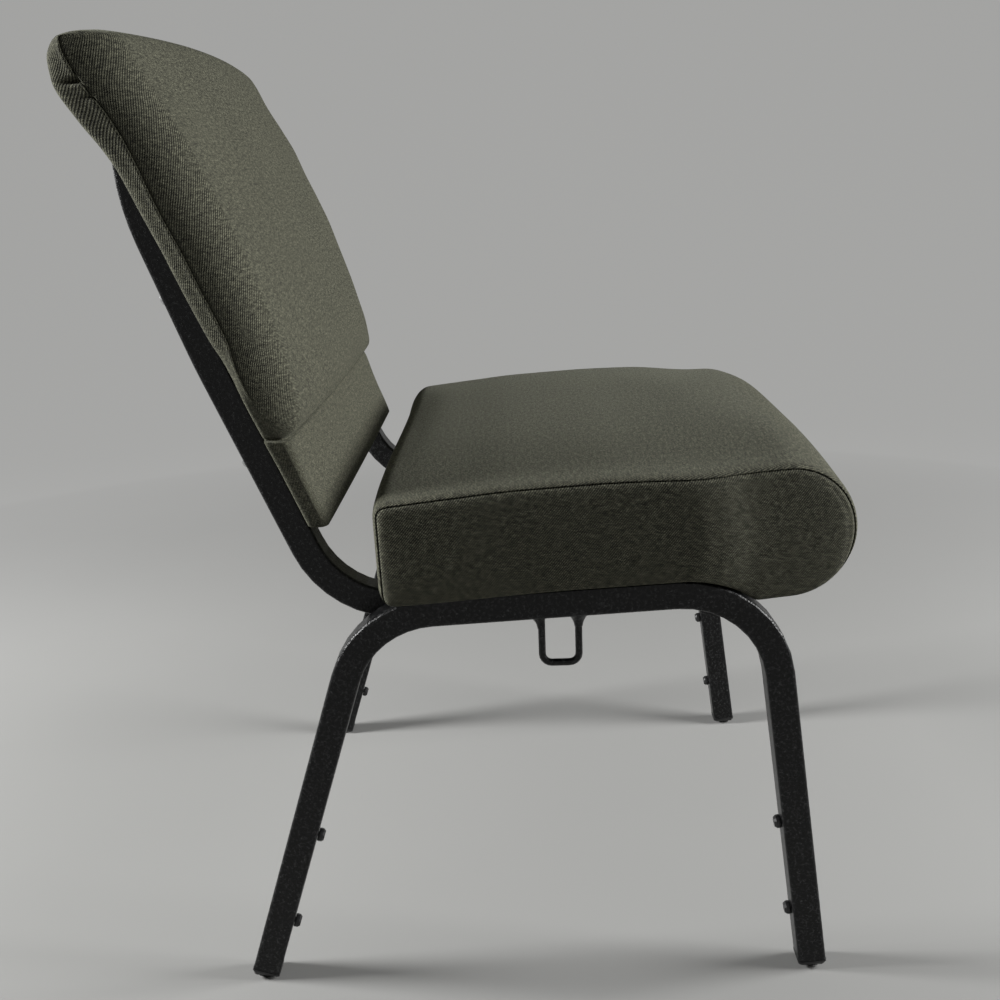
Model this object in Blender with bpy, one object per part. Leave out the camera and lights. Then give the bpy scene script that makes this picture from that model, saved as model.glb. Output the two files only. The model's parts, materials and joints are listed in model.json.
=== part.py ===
"""Stacking conference chair: bent square-tube frame with an upholstered seat and back.

Metres, +Z up. The sitter faces -Y, so the chair's right-hand side is at -X.
Heights are above the floor. Depths are measured from a line midway between the feet, and the
whole chair then hangs on an empty that centres its box on the origin.
"""
import math

import bmesh
import bpy
from mathutils import Vector

# Gap between pieces that touch, are welded together or plug into each other
FIT = 0.0003

# Square tube of the whole frame
TUBE = 0.0254
TUBE_WALL = 0.0015
TUBE_CORNER = 0.0030
BEND_RADIUS = 0.087

# Leg frames, set in from the seat's sides
SEAT_HALF_WIDTH = 0.262
SEAT_OVERHANG = 0.0038
LEG_SPACING = 2 * (SEAT_HALF_WIDTH - SEAT_OVERHANG) - TUBE
RAIL_HEIGHT = 0.3703
RAIL_RISE = math.radians(2.66)
FRONT_FOOT = -0.2563
REAR_FOOT = 0.2604
FRONT_LEG_TILT = math.radians(7.42)
REAR_LEG_TILT = math.radians(18.05)
LEG_END_HEIGHT = 0.009

# Back uprights, from their front end under the seat to the tip behind the back
UPRIGHT_FRONT = 0.130
UPRIGHT_CORNER = -0.1674
UPRIGHT_TILT = math.radians(22.17)
UPRIGHT_RUN = 0.2395
UPPER_TILT = math.radians(19.54)
UPPER_RUN = 0.144
TIP_TILT = math.radians(-3.0)
TIP_RUN = 0.038
WAIST_BEND = 0.60
TIP_BEND = 0.19

# Cross tubes, placed by their distance in front of the frame's middle
FRONT_CROSS = 0.105
REAR_CROSS = -0.060

# Seat pad, measured along and square to the rails, from the top of the rails
SEAT_BACK_EDGE = 0.118
SEAT_BACK_HEIGHT = 0.0857
SEAT_BACK_ROUND = 0.009
SEAT_HEIGHT = 0.092
SEAT_DIP = 0.0035
SEAT_CROWN = 0.012
NOSE_ADVANCE = 0.222
NOSE_RADIUS = 0.0555
NOSE_CROWN = 0.004
COVER = 0.002
SEAM_DEPTH = 0.0022
SEAT_BOARD = 0.012
SEAT_BOARD_MARGIN = 0.014
SEAT_BOARD_SETBACK = 0.057
SEAT_BOARD_HALF_WIDTH = SEAT_HALF_WIDTH - SEAT_BOARD_MARGIN
SEAT_BOARD_FRONT = NOSE_ADVANCE - SEAT_BOARD_SETBACK
SEAT_BOARD_BACK = SEAT_BOARD_MARGIN - SEAT_BACK_EDGE
TURN_UNDER = 0.025
MOUTH_HALF_WIDTH = SEAT_BOARD_HALF_WIDTH - TURN_UNDER * 2
MOUTH_FRONT = SEAT_BOARD_FRONT - TURN_UNDER
MOUTH_BACK = SEAT_BOARD_BACK + TURN_UNDER
DUST_COVER = 0.0012

# Back pad
BACK_OVERHANG = 0.0115
BACK_SIDE_DEPTH = 0.026
BACK_BOTTOM = 0.4418
BACK_HEIGHT = 0.396
BACK_DEPTH = 0.060
BACK_CROWN = 0.008
BACK_FULL_DEPTH = 0.040
BACK_BOARD = 0.008
BACK_BOARD_MARGIN = 0.018
BACK_BOARD_LIFT = 0.010
BACK_BOARD_TOP = 0.016
BACK_REAR_ROUND = 0.008
BACK_SIDE_ROUND = 0.012
SIDE_SEAM_START = 0.130
GROOVE_LIFT = 0.120
GROOVE_GAP = 0.0010
HEAD_REACH = 0.15

# Plugs, bumpers, screws and the ganging loop
GLIDE_STEM = 0.018
GLIDE_TAPER = 0.94
GLIDE_BRIM = 0.0018
GLIDE_CONTACT = 0.0125
GLIDE_STEP = 0.0015
BUMPER_HEIGHTS = (0.061, 0.152)
BUMPER_RADIUS = 0.0062
BUMPER_HEAD = 0.0062
BUMPER_STEM_RADIUS = 0.0022
BUMPER_STEM = 0.007
SCREW_RADIUS = 0.00275
SCREW_HEAD_RADIUS = 0.006
SCREW_HEAD = 0.0035
SEAT_SCREW_INSET = 0.057
SCREW_BITE = 0.75
BACK_SCREW_RUNS = (0.150, 0.060)
LOOP_WIRE = 0.0064
LOOP_REAR = -0.012
LOOP_WIDTH = 0.032
LOOP_DROP = 0.0445
LOOP_BEND = 0.0085
LOOP_WELD = 1.6

# Mesh fineness
FLATNESS = 0.000002
BEND_STEPS = 8
WAIST_STEPS = 2
TIP_STEPS = 5
CORNER_STEPS = 3
ROUND_SIDES = 12
WIRE_SIDES = 10
LOOP_STEPS = 5


def vec(x, depth, height):
    return Vector((x, depth, height))


def line_meet(a, along_a, b, along_b):
    """Point where two lines in the depth-height plane cross."""
    across = along_a.x * along_b.y - along_a.y * along_b.x
    gap = b - a
    return a + along_a * ((gap.x * along_b.y - gap.y * along_b.x) / across)


def corner_arc(before, corner, after, radius):
    """Start, centre, first direction and turn of the arc that rounds a corner."""
    into = (corner - before).normalized()
    out = (after - corner).normalized()
    turn = math.atan2(into.x * out.y - into.y * out.x, into.dot(out))
    start = corner - into * (radius * math.tan(abs(turn) / 2))
    side = Vector((-into.y, into.x)) * math.copysign(1, turn)
    return start, start + side * radius, into, turn


def rounded_path(points, radii, steps):
    """Polyline with an arc at each inner corner, as (point, direction) pairs."""
    path = [(points[0], (points[1] - points[0]).normalized())]
    for i in range(1, len(points) - 1):
        start, centre, into, turn = corner_arc(points[i - 1], points[i], points[i + 1], radii[i - 1])
        arm = start - centre
        for k in range(steps[i - 1] + 1):
            angle = turn * k / steps[i - 1]
            c = math.cos(angle)
            s = math.sin(angle)
            turned = Vector((arm.x * c - arm.y * s, arm.x * s + arm.y * c))
            direction = Vector((into.x * c - into.y * s, into.x * s + into.y * c))
            path.append((centre + turned, direction))
    path.append((points[-1], (points[-1] - points[-2]).normalized()))
    return path


def square_loop(corner):
    """Rounded square of half width 1, with CORNER_STEPS facets to each corner."""
    loop = []
    for q in range(4):
        mid = math.radians(45 + 90 * q)
        cx = (1 - corner) * math.copysign(1, math.cos(mid))
        cy = (1 - corner) * math.copysign(1, math.sin(mid))
        for k in range(CORNER_STEPS + 1):
            angle = math.radians(90 * q + 90 * k / CORNER_STEPS)
            loop.append((cx + corner * math.cos(angle), cy + corner * math.sin(angle)))
    return loop


def round_loop(sides):
    """Circle of radius 1."""
    return [(math.cos(math.tau * k / sides), math.sin(math.tau * k / sides)) for k in range(sides)]


def ring_points(frame, loop):
    """One loop placed on a frame of origin, across, up and size."""
    origin, across, up, size = frame
    return [origin + across * (a * size) + up * (b * size) for a, b in loop]


def add_rings(bm, rings):
    """Closed solid through rings of equal length, with flat ends and warped faces split in two."""
    made = [[bm.verts.new(p) for p in ring] for ring in rings]
    count = len(made[0])
    for low, high in zip(made, made[1:]):
        for k in range(count):
            n = (k + 1) % count
            a, b, c, d = [v.co for v in (low[k], low[n], high[n], high[k])]
            if abs((b - a).cross(c - a).normalized().dot(d - a)) > FLATNESS:
                bm.faces.new((low[k], low[n], high[n]))
                bm.faces.new((low[k], high[n], high[k]))
            else:
                bm.faces.new((low[k], low[n], high[n], high[k]))
    bm.faces.new(made[0])
    bm.faces.new(list(reversed(made[-1])))


def add_sweep(bm, frames, loop):
    """Solid swept through frames."""
    add_rings(bm, [ring_points(frame, loop) for frame in frames])


def add_hollow_square(bm, frames, loop, wall):
    """Square tube with open ends: a rounded outside and a plain square bore."""
    corners = [(1, 1), (-1, 1), (-1, -1), (1, -1)]
    outer = [[bm.verts.new(p) for p in ring_points(f, loop)] for f in frames]
    inner = []
    for origin, across, up, size in frames:
        bore = (origin, across, up, size - wall)
        inner.append([bm.verts.new(p) for p in ring_points(bore, corners)])
    count = len(loop)
    per = count // 4
    for i in range(len(frames) - 1):
        for k in range(count):
            n = (k + 1) % count
            bm.faces.new((outer[i][k], outer[i][n], outer[i + 1][n], outer[i + 1][k]))
        for k in range(4):
            n = (k + 1) % 4
            bm.faces.new((inner[i][n], inner[i][k], inner[i + 1][k], inner[i + 1][n]))
    for rim, bore in ((outer[0], inner[0]), (outer[-1], inner[-1])):
        for c in range(4):
            for k in range(per - 1):
                bm.faces.new((rim[c * per + k], rim[c * per + k + 1], bore[c]))
            n = (c + 1) % 4
            bm.faces.new((rim[c * per + per - 1], rim[n * per], bore[n], bore[c]))


def add_turned(bm, origin, axis, across, profile):
    """Round solid about an axis, from (radius, distance along the axis) pairs."""
    up = axis.cross(across)
    frames = [(origin + axis * reach, across, up, radius) for radius, reach in profile]
    add_sweep(bm, frames, round_loop(ROUND_SIDES))


def make_object(name, bm, material=None):
    """Turns a bmesh into an object; without a material it is a cutter."""
    bmesh.ops.recalc_face_normals(bm, faces=bm.faces)
    mesh = bpy.data.meshes.new(name)
    bm.to_mesh(mesh)
    bm.free()
    mesh.shade_smooth()
    mesh.set_sharp_from_angle(angle=math.radians(40))
    item = bpy.data.objects.new(name, mesh)
    bpy.context.scene.collection.objects.link(item)
    if material is None:
        item.hide_render = True
        item.display_type = "WIRE"
    else:
        mesh.materials.append(material)
    item.parent = chair
    return item


def cut(item, *cutters):
    """Takes the cutters' space out of a piece."""
    for cutter in cutters:
        step = item.modifiers.new(cutter.name, "BOOLEAN")
        step.operation = "DIFFERENCE"
        step.solver = "EXACT"
        step.object = cutter


def make_material(name, colour, roughness, metallic):
    material = bpy.data.materials.new(name)
    material.use_nodes = True
    shader = material.node_tree.nodes["Principled BSDF"]
    shader.inputs["Base Color"].default_value = (*colour, 1)
    shader.inputs["Roughness"].default_value = roughness
    shader.inputs["Metallic"].default_value = metallic
    return material


for old in list(bpy.data.objects):
    bpy.data.objects.remove(old)

chair = bpy.data.objects.new("chair_origin", None)
bpy.context.scene.collection.objects.link(chair)

FRAME_PAINT = make_material("frame_paint", (0.018, 0.018, 0.019), 0.35, 0.0)
FABRIC = make_material("fabric", (0.085, 0.088, 0.066), 0.95, 0.0)
FOAM = make_material("foam", (0.72, 0.68, 0.52), 0.95, 0.0)
PLYWOOD = make_material("plywood", (0.52, 0.38, 0.22), 0.7, 0.0)
DUST_CLOTH = make_material("dust_cloth", (0.02, 0.02, 0.02), 0.95, 0.0)
BLACK_PLASTIC = make_material("black_plastic", (0.012, 0.012, 0.013), 0.45, 0.0)
SCREW_STEEL = make_material("screw_steel", (0.3, 0.3, 0.31), 0.35, 1.0)

SIDES = (("right", -1), ("left", 1))
HALF = TUBE / 2
SQUARE = square_loop(TUBE_CORNER / HALF)
X_AXIS = Vector((1, 0, 0))

# The rails' own directions, in the depth-height plane: forward along them and up from them
FORWARD = Vector((-math.cos(RAIL_RISE), math.sin(RAIL_RISE)))
UPWARD = Vector((math.sin(RAIL_RISE), math.cos(RAIL_RISE)))
RAIL_MIDDLE = Vector((0, RAIL_HEIGHT))
RAIL_TOP = RAIL_MIDDLE + UPWARD * HALF


def on_rails(ahead, above):
    """Depth and height of a point given along and above the rails' top."""
    return RAIL_TOP + FORWARD * ahead + UPWARD * above


def seat_vec(x, ahead, above):
    p = on_rails(ahead, above)
    return vec(x, p.x, p.y)


def seat_dir(direction):
    return vec(0, direction.x, direction.y)


def side_frames(path, x, half):
    """Frames along a path in a plane at x, for a section of the given half width."""
    frames = []
    for p, t in path:
        frames.append((vec(x, p.x, p.y), X_AXIS, vec(0, -t.y, t.x), half))
    return frames


# Leg frames: rear leg, rail and front leg are one bent tube
FRONT_UP = Vector((math.sin(FRONT_LEG_TILT), math.cos(FRONT_LEG_TILT)))
REAR_UP = Vector((-math.sin(REAR_LEG_TILT), math.cos(REAR_LEG_TILT)))
FRONT_CONTACT = Vector((FRONT_FOOT, 0))
REAR_CONTACT = Vector((REAR_FOOT, 0))
FRONT_END = FRONT_CONTACT + FRONT_UP * (LEG_END_HEIGHT / FRONT_UP.y)
REAR_END = REAR_CONTACT + REAR_UP * (LEG_END_HEIGHT / REAR_UP.y)
LEGS = ((FRONT_CONTACT, FRONT_UP, FRONT_END, 1, "front"), (REAR_CONTACT, REAR_UP, REAR_END, -1, "rear"))

leg_corners = [
    REAR_END,
    line_meet(REAR_END, REAR_UP, RAIL_MIDDLE, FORWARD),
    line_meet(FRONT_END, FRONT_UP, RAIL_MIDDLE, FORWARD),
    FRONT_END,
]
leg_path = rounded_path(leg_corners, (BEND_RADIUS, BEND_RADIUS), (BEND_STEPS, BEND_STEPS))
FRONT_BEND_CENTRE = corner_arc(*leg_corners[1:], BEND_RADIUS)[1]

for side, sign in SIDES:
    x = sign * LEG_SPACING / 2
    bm = bmesh.new()
    add_hollow_square(bm, side_frames(leg_path, x, HALF), SQUARE, TUBE_WALL)
    leg_frame = make_object("leg_frame_" + side, bm, FRAME_PAINT)
    holes = bmesh.new()
    for contact, up, end, inward, where in LEGS:
        # The glide's plug fills the tube end, and its foot has a small level contact face
        square_up = Vector((up.y, -up.x))
        back_dir = vec(0, square_up.x, square_up.y)
        axis = vec(0, up.x, up.y)
        foot = vec(x, contact.x, contact.y)
        tube_end = vec(x, end.x, end.y) - axis * FIT
        stem = HALF - TUBE_WALL - FIT
        brim = HALF + FIT
        pad = GLIDE_CONTACT / 2
        level = Vector((0, 1, 0))
        swell = tube_end.lerp(foot, 0.58)
        bm = bmesh.new()
        add_sweep(bm, [
            (tube_end + axis * GLIDE_STEM, X_AXIS, back_dir, stem * GLIDE_TAPER),
            (tube_end + axis * FIT, X_AXIS, back_dir, stem),
            (tube_end, X_AXIS, back_dir, stem),
            (tube_end, X_AXIS, back_dir, brim),
            (tube_end - axis * GLIDE_BRIM, X_AXIS, back_dir, brim),
            (swell, X_AXIS, (back_dir + level).normalized(), (brim * 1.15 + pad) / 2),
            (foot + vec(0, 0, GLIDE_STEP), X_AXIS, level, pad),
            (foot, X_AXIS, level, pad),
        ], SQUARE)
        make_object("foot_glide_%s_%s" % (where, side), bm, BLACK_PLASTIC)
        # Bumpers face into the leg frame
        face = back_dir * inward
        for height, level_name in zip(BUMPER_HEIGHTS, ("low", "high")):
            centre = contact + up * (height / up.y)
            seat = vec(x, centre.x, centre.y) + face * HALF
            add_turned(holes, seat, face, X_AXIS, [
                (BUMPER_STEM_RADIUS + FIT, -TUBE_WALL * 2),
                (BUMPER_STEM_RADIUS + FIT, TUBE_WALL),
            ])
            bm = bmesh.new()
            add_turned(bm, seat, face, X_AXIS, [
                (BUMPER_STEM_RADIUS, -BUMPER_STEM),
                (BUMPER_STEM_RADIUS, FIT),
                (BUMPER_RADIUS * 0.94, FIT),
                (BUMPER_RADIUS, BUMPER_HEAD * 0.35),
                (BUMPER_RADIUS * 0.95, BUMPER_HEAD * 0.7),
                (BUMPER_RADIUS * 0.7, BUMPER_HEAD),
            ])
            make_object("stack_bumper_%s_%s_%s" % (where, level_name, side), bm, BLACK_PLASTIC)
    cut(leg_frame, make_object("bumper_holes_" + side, holes))

# Back uprights: a run beside the rail under the seat, then up behind the back
UPRIGHT_X = LEG_SPACING / 2 - TUBE - FIT
BACK_HALF_WIDTH = UPRIGHT_X + HALF + BACK_OVERHANG
BACK_FACE_HALF_WIDTH = BACK_HALF_WIDTH - BACK_SIDE_DEPTH
BACK_BOARD_HALF_WIDTH = BACK_HALF_WIDTH - BACK_BOARD_MARGIN
upright_up = Vector((math.sin(UPRIGHT_TILT), math.cos(UPRIGHT_TILT)))
upper_up = Vector((math.sin(UPPER_TILT), math.cos(UPPER_TILT)))
tip_up = Vector((math.sin(TIP_TILT), math.cos(TIP_TILT)))
UPRIGHT_START = on_rails(UPRIGHT_FRONT, -HALF)
UPRIGHT_TURN = on_rails(UPRIGHT_CORNER, -HALF)
UPRIGHT_WAIST = UPRIGHT_TURN + upright_up * UPRIGHT_RUN
UPRIGHT_NECK = UPRIGHT_WAIST + upper_up * UPPER_RUN
UPRIGHT_TIP = UPRIGHT_NECK + tip_up * TIP_RUN
upright_path = rounded_path(
    [UPRIGHT_START, UPRIGHT_TURN, UPRIGHT_WAIST, UPRIGHT_NECK, UPRIGHT_TIP],
    (BEND_RADIUS, WAIST_BEND, TIP_BEND),
    (BEND_STEPS, WAIST_STEPS, TIP_STEPS),
)


def rising_path(low, reach):
    """The uprights' line behind the back, from a height up to a distance past the tip."""
    start = UPRIGHT_TURN + upright_up * ((low - UPRIGHT_TURN.y) / upright_up.y)
    end = UPRIGHT_TIP + tip_up * reach
    corners = [start, UPRIGHT_WAIST, UPRIGHT_NECK, end]
    return rounded_path(corners, (WAIST_BEND, TIP_BEND), (WAIST_STEPS, TIP_STEPS))


def tube_front(height):
    """Depth of the uprights' front face at a height, carried on past the tip."""
    faces = [p + Vector((-t.y, t.x)) * HALF for p, t in rising_path(BACK_BOTTOM - TUBE, HEAD_REACH)]
    for a, b in zip(faces, faces[1:]):
        if a.y <= height <= b.y:
            return a.x + (b.x - a.x) * (height - a.y) / (b.y - a.y)
    return faces[-1].x


def add_screw(name, holes, origin, axis, length):
    """Screw with its head behind the origin, and the hole for it."""
    add_turned(holes, origin, axis, X_AXIS, [
        (SCREW_RADIUS + FIT, -TUBE_WALL),
        (SCREW_RADIUS + FIT, length + FIT),
    ])
    bm = bmesh.new()
    add_turned(bm, origin, axis, X_AXIS, [
        (SCREW_HEAD_RADIUS * 0.6, -SCREW_HEAD),
        (SCREW_HEAD_RADIUS, -SCREW_HEAD * 0.4),
        (SCREW_HEAD_RADIUS, 0),
        (SCREW_RADIUS, 0),
        (SCREW_RADIUS, length),
    ])
    make_object(name, bm, SCREW_STEEL)


# Screws that hold the back: through each upright, into the back board
back_holes = bmesh.new()
board_gap = FIT + COVER + FIT
back_screw_length = FIT + TUBE + board_gap + BACK_BOARD * SCREW_BITE
for side, sign in SIDES:
    for start, up, run, where in (
        (UPRIGHT_TURN, upright_up, BACK_SCREW_RUNS[0], "low"),
        (UPRIGHT_WAIST, upper_up, BACK_SCREW_RUNS[1], "high"),
    ):
        centre = start + up * run
        ahead = Vector((-up.y, up.x))
        seat = centre - ahead * (HALF + FIT)
        origin = vec(sign * UPRIGHT_X, seat.x, seat.y)
        axis = vec(0, ahead.x, ahead.y)
        add_screw("back_screw_%s_%s" % (where, side), back_holes, origin, axis, back_screw_length)
back_hole_cutter = make_object("back_screw_holes", back_holes)

grooves = bmesh.new()
for side, sign in SIDES:
    bm = bmesh.new()
    add_hollow_square(bm, side_frames(upright_path, sign * UPRIGHT_X, HALF), SQUARE, TUBE_WALL)
    upright = make_object("back_upright_" + side, bm, FRAME_PAINT)
    cut(upright, back_hole_cutter)
    groove_path = rising_path(BACK_BOTTOM + GROOVE_LIFT, FIT * 2)
    add_sweep(grooves, side_frames(groove_path, sign * UPRIGHT_X, HALF + GROOVE_GAP), SQUARE)
groove_cutter = make_object("upright_grooves", grooves)

# Cross tubes between the uprights' runs, flush with the rails' top, and the seat screws
cross_half = UPRIGHT_X - HALF - FIT
screw_base = -TUBE - FIT
board_low = FIT + COVER + FIT
seat_screw_length = -screw_base + board_low + SEAT_BOARD * SCREW_BITE
seat_holes = bmesh.new()
for where, ahead in (("front", FRONT_CROSS), ("rear", REAR_CROSS)):
    for side, sign in SIDES:
        origin = seat_vec(sign * (cross_half - SEAT_SCREW_INSET), ahead, screw_base)
        name = "seat_screw_%s_%s" % (where, side)
        add_screw(name, seat_holes, origin, seat_dir(UPWARD), seat_screw_length)
seat_hole_cutter = make_object("seat_screw_holes", seat_holes)
for where, ahead in (("front", FRONT_CROSS), ("rear", REAR_CROSS)):
    ends = [seat_vec(sign * cross_half, ahead, -HALF) for sign in (-1, 1)]
    frames = [(end, seat_dir(FORWARD), seat_dir(UPWARD), HALF) for end in ends]
    bm = bmesh.new()
    add_hollow_square(bm, frames, SQUARE, TUBE_WALL)
    cut(make_object(where + "_cross_tube", bm, FRAME_PAINT), seat_hole_cutter)


# Seat pad: its side outline runs over the rails, round the nose and up over the legs' front bend
def arc(centre, radius, start, end, steps):
    points = []
    for k in range(steps + 1):
        angle = math.radians(start + (end - start) * k / steps)
        points.append(Vector((centre[0] + radius * math.cos(angle), centre[1] + radius * math.sin(angle))))
    return points


def seat_outline():
    """Side outline of the seat pad, along and above the rails, clockwise from the back edge."""
    low = FIT
    nose_height = SEAT_HEIGHT - NOSE_RADIUS
    bend = FRONT_BEND_CENTRE - RAIL_TOP
    bend_ahead = bend.dot(FORWARD)
    bend_above = bend.dot(UPWARD)
    bend_radius = BEND_RADIUS + HALF + FIT * 3
    hang = nose_height - NOSE_RADIUS
    reach = math.degrees(math.acos((hang - bend_above) / bend_radius))
    edge = -SEAT_BACK_EDGE + SEAT_BACK_ROUND
    points = arc((edge, low + SEAT_BACK_ROUND), SEAT_BACK_ROUND, 270, 180, 3)
    points += arc((edge, SEAT_BACK_HEIGHT - SEAT_BACK_ROUND), SEAT_BACK_ROUND, 180, 90, 3)
    points.append(Vector((SEAT_BACK_EDGE * -0.5, (SEAT_BACK_HEIGHT + SEAT_HEIGHT) / 2)))
    points.append(Vector((0, SEAT_HEIGHT - SEAT_DIP * 0.1)))
    points.append(Vector((NOSE_ADVANCE * 0.3, SEAT_HEIGHT)))
    points.append(Vector((NOSE_ADVANCE * 0.55, SEAT_HEIGHT - SEAT_DIP * 0.5)))
    points.append(Vector((NOSE_ADVANCE * 0.68, SEAT_HEIGHT - SEAT_DIP)))
    points.append(Vector((NOSE_ADVANCE * 0.84, SEAT_HEIGHT - SEAT_DIP * 0.2)))
    points += arc((NOSE_ADVANCE, nose_height), NOSE_RADIUS, 90, -90, 10)
    meet = math.degrees(math.asin((low - bend_above) / bend_radius))
    points += arc((bend_ahead, bend_above), bend_radius, 90 - reach, meet, 4)
    points.append(Vector((0, low)))
    return points


def outline_normals(points):
    """Outward direction at each corner of a clockwise outline."""
    normals = []
    for i, p in enumerate(points):
        into = (p - points[i - 1]).normalized()
        out = (points[(i + 1) % len(points)] - p).normalized()
        along = (into + out).normalized()
        normals.append(Vector((-along.y, along.x)))
    return normals


SEAT_OUTLINE = seat_outline()
SEAT_NORMALS = outline_normals(SEAT_OUTLINE)


def seat_ring(x, inset):
    """The outline at a distance across the chair, crowned on top and at the nose."""
    swell = max(0, 1 - (x / SEAT_HALF_WIDTH) ** 2)
    ring = []
    for p, n in zip(SEAT_OUTLINE, SEAT_NORMALS):
        push = swell * (SEAT_CROWN * max(0, n.y) ** 2 + NOSE_CROWN * max(0, n.x) ** 2)
        if p.y < 0:
            push = 0
        moved = p + n * (push - inset)
        ring.append(seat_vec(x, moved.x, moved.y))
    return ring


def add_seat(bm, half_stations):
    """Pad through stations of (distance across, inset), mirrored about the middle."""
    rings = [seat_ring(-x, inset) for x, inset in half_stations]
    rings += [seat_ring(x, inset) for x, inset in reversed(half_stations[:-1])]
    add_rings(bm, rings)


CROWN_STATIONS = [SEAT_HALF_WIDTH * share for share in (0.955, 0.72, 0.36, 0)]


def add_seat_core(bm, inset):
    """The space inside the seat cover."""
    edge = SEAT_HALF_WIDTH - inset
    stations = [(edge, inset * 3), (edge - inset * 2, inset)]
    stations += [(x - inset * 2, inset) for x in CROWN_STATIONS[:-1]]
    stations.append((0, inset))
    add_seat(bm, stations)


def add_box(bm, half_width, back, front, low, high):
    """Block square to the rails."""
    corners = ((-half_width, low), (half_width, low), (half_width, high), (-half_width, high))
    add_rings(bm, [[seat_vec(x, ahead, above) for x, above in corners] for ahead in (back, front)])


bm = bmesh.new()
edge = SEAT_HALF_WIDTH
add_seat(bm, [
    (edge + COVER * 1.5, SEAM_DEPTH * 10),
    (edge + COVER, SEAM_DEPTH * 2.7),
    (edge, SEAM_DEPTH),
    (edge - COVER * 0.75, SEAM_DEPTH * 1.1),
    (edge - COVER * 1.75, SEAM_DEPTH * 0.27),
] + [(x, 0) for x in CROWN_STATIONS])
seat_cover = make_object("seat_cover", bm, FABRIC)
core = bmesh.new()
add_seat_core(core, COVER)
mouth = bmesh.new()
add_box(mouth, MOUTH_HALF_WIDTH, MOUTH_BACK, MOUTH_FRONT, -HALF, board_low + FIT)
cut(seat_cover, make_object("seat_cover_core", core), make_object("seat_cover_mouth", mouth))

bm = bmesh.new()
add_seat_core(bm, COVER + FIT)
seat_foam = make_object("seat_foam", bm, FOAM)
pocket = bmesh.new()
board_high = board_low + SEAT_BOARD
pocket_half = SEAT_BOARD_HALF_WIDTH + FIT
add_box(pocket, pocket_half, SEAT_BOARD_BACK - FIT, SEAT_BOARD_FRONT + FIT, -HALF, board_high + FIT)
cut(seat_foam, make_object("seat_board_pocket", pocket))

bm = bmesh.new()
add_box(bm, SEAT_BOARD_HALF_WIDTH, SEAT_BOARD_BACK, SEAT_BOARD_FRONT, board_low, board_high)
cut(make_object("seat_board", bm, PLYWOOD), seat_hole_cutter)

bm = bmesh.new()
dust_high = board_low - FIT
add_box(bm, MOUTH_HALF_WIDTH - FIT, MOUTH_BACK + FIT, MOUTH_FRONT - FIT, dust_high - DUST_COVER, dust_high)
cut(make_object("seat_dust_cover", bm, DUST_CLOTH), seat_hole_cutter)

# Back pad, as levels of shares: of its height above its bottom, then of its depth for its reach
# behind the uprights' front and for the side seam and front face ahead of it, then of its full width.
# The head end sweeps back over the uprights' tips.
SNUG = -FIT * 1.4 / BACK_DEPTH
LOW_SEAM = 0.142
BACK_LEVELS = [
    (0.0000, SNUG, LOW_SEAM, 0.267, 0.984),
    (0.0076, SNUG, LOW_SEAM, 0.308, 0.988),
    (0.0960, SNUG, LOW_SEAM, 0.347, 0.988),
    (0.1869, SNUG, LOW_SEAM, 0.387, 0.988),
    (0.1970, SNUG, LOW_SEAM, 0.380, 0.986),
    (0.2121, SNUG, LOW_SEAM, 0.542, 0.988),
    (0.2500, SNUG, LOW_SEAM, 0.698, 0.992),
    (0.3131, SNUG, LOW_SEAM, 0.812, 0.996),
    (0.3586, SNUG, 0.192, 0.845, 1.000),
    (0.4040, 0.045, 0.250, 0.870, 1.000),
    (0.5177, 0.102, 0.210, 0.892, 1.000),
    (0.5934, 0.127, 0.188, 0.907, 1.000),
    (0.6515, 0.170, 0.142, 0.875, 1.000),
    (0.7424, 0.322, 0.017, 0.717, 1.000),
    (0.7904, 0.483, -0.100, 0.600, 1.000),
    (0.8510, 0.767, -0.300, 0.383, 1.000),
    (0.9217, 1.008, -0.633, 0.100, 0.998),
    (0.9596, 1.050, -0.767, -0.033, 0.992),
    (0.9823, 1.017, -0.833, -0.150, 0.984),
    (1.0000, 0.900, -0.733, -0.333, 0.955),
]


def back_ring(level, inset, low):
    """Level outline of the back pad: flat behind, banded at the sides, rounded to the front."""
    rise = level[0] * BACK_HEIGHT
    behind, seam, front = [part * BACK_DEPTH for part in level[1:4]]
    height = BACK_BOTTOM + max(rise, low)
    if level in BACK_LEVELS[-3:]:
        height -= inset
    base = tube_front(height)
    half = BACK_HALF_WIDTH * level[4] - inset
    face = min(BACK_FACE_HALF_WIDTH, half - BACK_SIDE_ROUND) - inset
    rear_y = base + behind - inset
    front_y = base - front + inset
    seam_y = base - seam
    groove = SEAM_DEPTH * 0.5 if inset == 0 and rise > SIDE_SEAM_START else 0
    right = []
    for x in (0, half * 0.5, half - BACK_REAR_ROUND):
        right.append((x, rear_y))
    right.append((half - BACK_REAR_ROUND * 0.2, rear_y - BACK_REAR_ROUND * 0.4))
    right.append((half - groove, seam_y))
    for k in range(1, 5):
        angle = math.radians(90 * k / 4)
        x = face + (half - face) * math.cos(angle)
        right.append((x, seam_y + (front_y - seam_y) * math.sin(angle)))
    for share_x in (0.6, 0):
        crown = BACK_CROWN * (1 - share_x ** 2) * min(1, (front - seam) / BACK_FULL_DEPTH)
        right.append((face * share_x, front_y - crown))
    left = [(-x, y) for x, y in reversed(right[1:-1])]
    return [vec(x, y, height) for x, y in right + left]


def add_back(bm, inset, low):
    add_rings(bm, [back_ring(level, inset, low) for level in BACK_LEVELS])


bm = bmesh.new()
add_back(bm, 0, 0)
back_cover = make_object("back_cover", bm, FABRIC)
core = bmesh.new()
levels = [back_ring(level, COVER, 0) for level in BACK_LEVELS]
drop = Vector((0, 0, -HALF))
add_rings(core, [[p + drop for p in levels[0]]] + levels[1:])
cut(back_cover, make_object("back_cover_core", core), groove_cutter, back_hole_cutter)

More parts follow.
